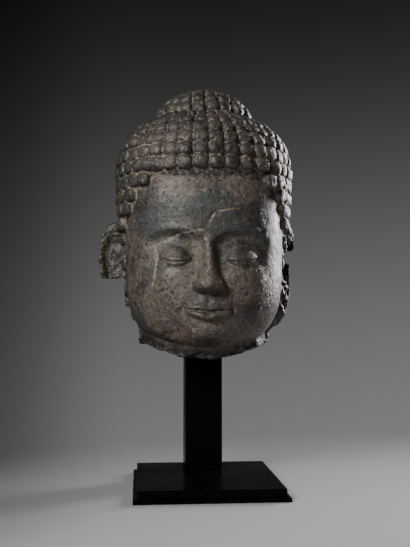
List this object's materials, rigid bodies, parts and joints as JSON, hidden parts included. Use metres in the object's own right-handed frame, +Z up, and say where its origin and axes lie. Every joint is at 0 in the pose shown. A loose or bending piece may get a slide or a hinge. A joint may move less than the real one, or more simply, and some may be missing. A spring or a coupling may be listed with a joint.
{
  "type": "stone buddha head on a stand",
  "caption": "Weathered carved stone head with rows of round curls, broken ears and neck, on a square black post and a stepped black foot.",
  "frame": {"origin": "middle of the foot plate's underside, on the surface the stand rests on", "axes": "+Z up, -Y the way the face looks, +X to the right of someone who looks at the face"},
  "size_m": [0.28, 0.2614, 0.5399],
  "materials": {
    "stone": "weathered dark grey-brown volcanic stone, smoothed by handling, with pale crusts and pits",
    "black_stand": "satin black paint"
  },
  "bodies": {
    "root": {"stone_head": "stone", "post": "black_stand", "foot_slab": "black_stand", "foot_plate": "black_stand"}
  },
  "joints": []
}
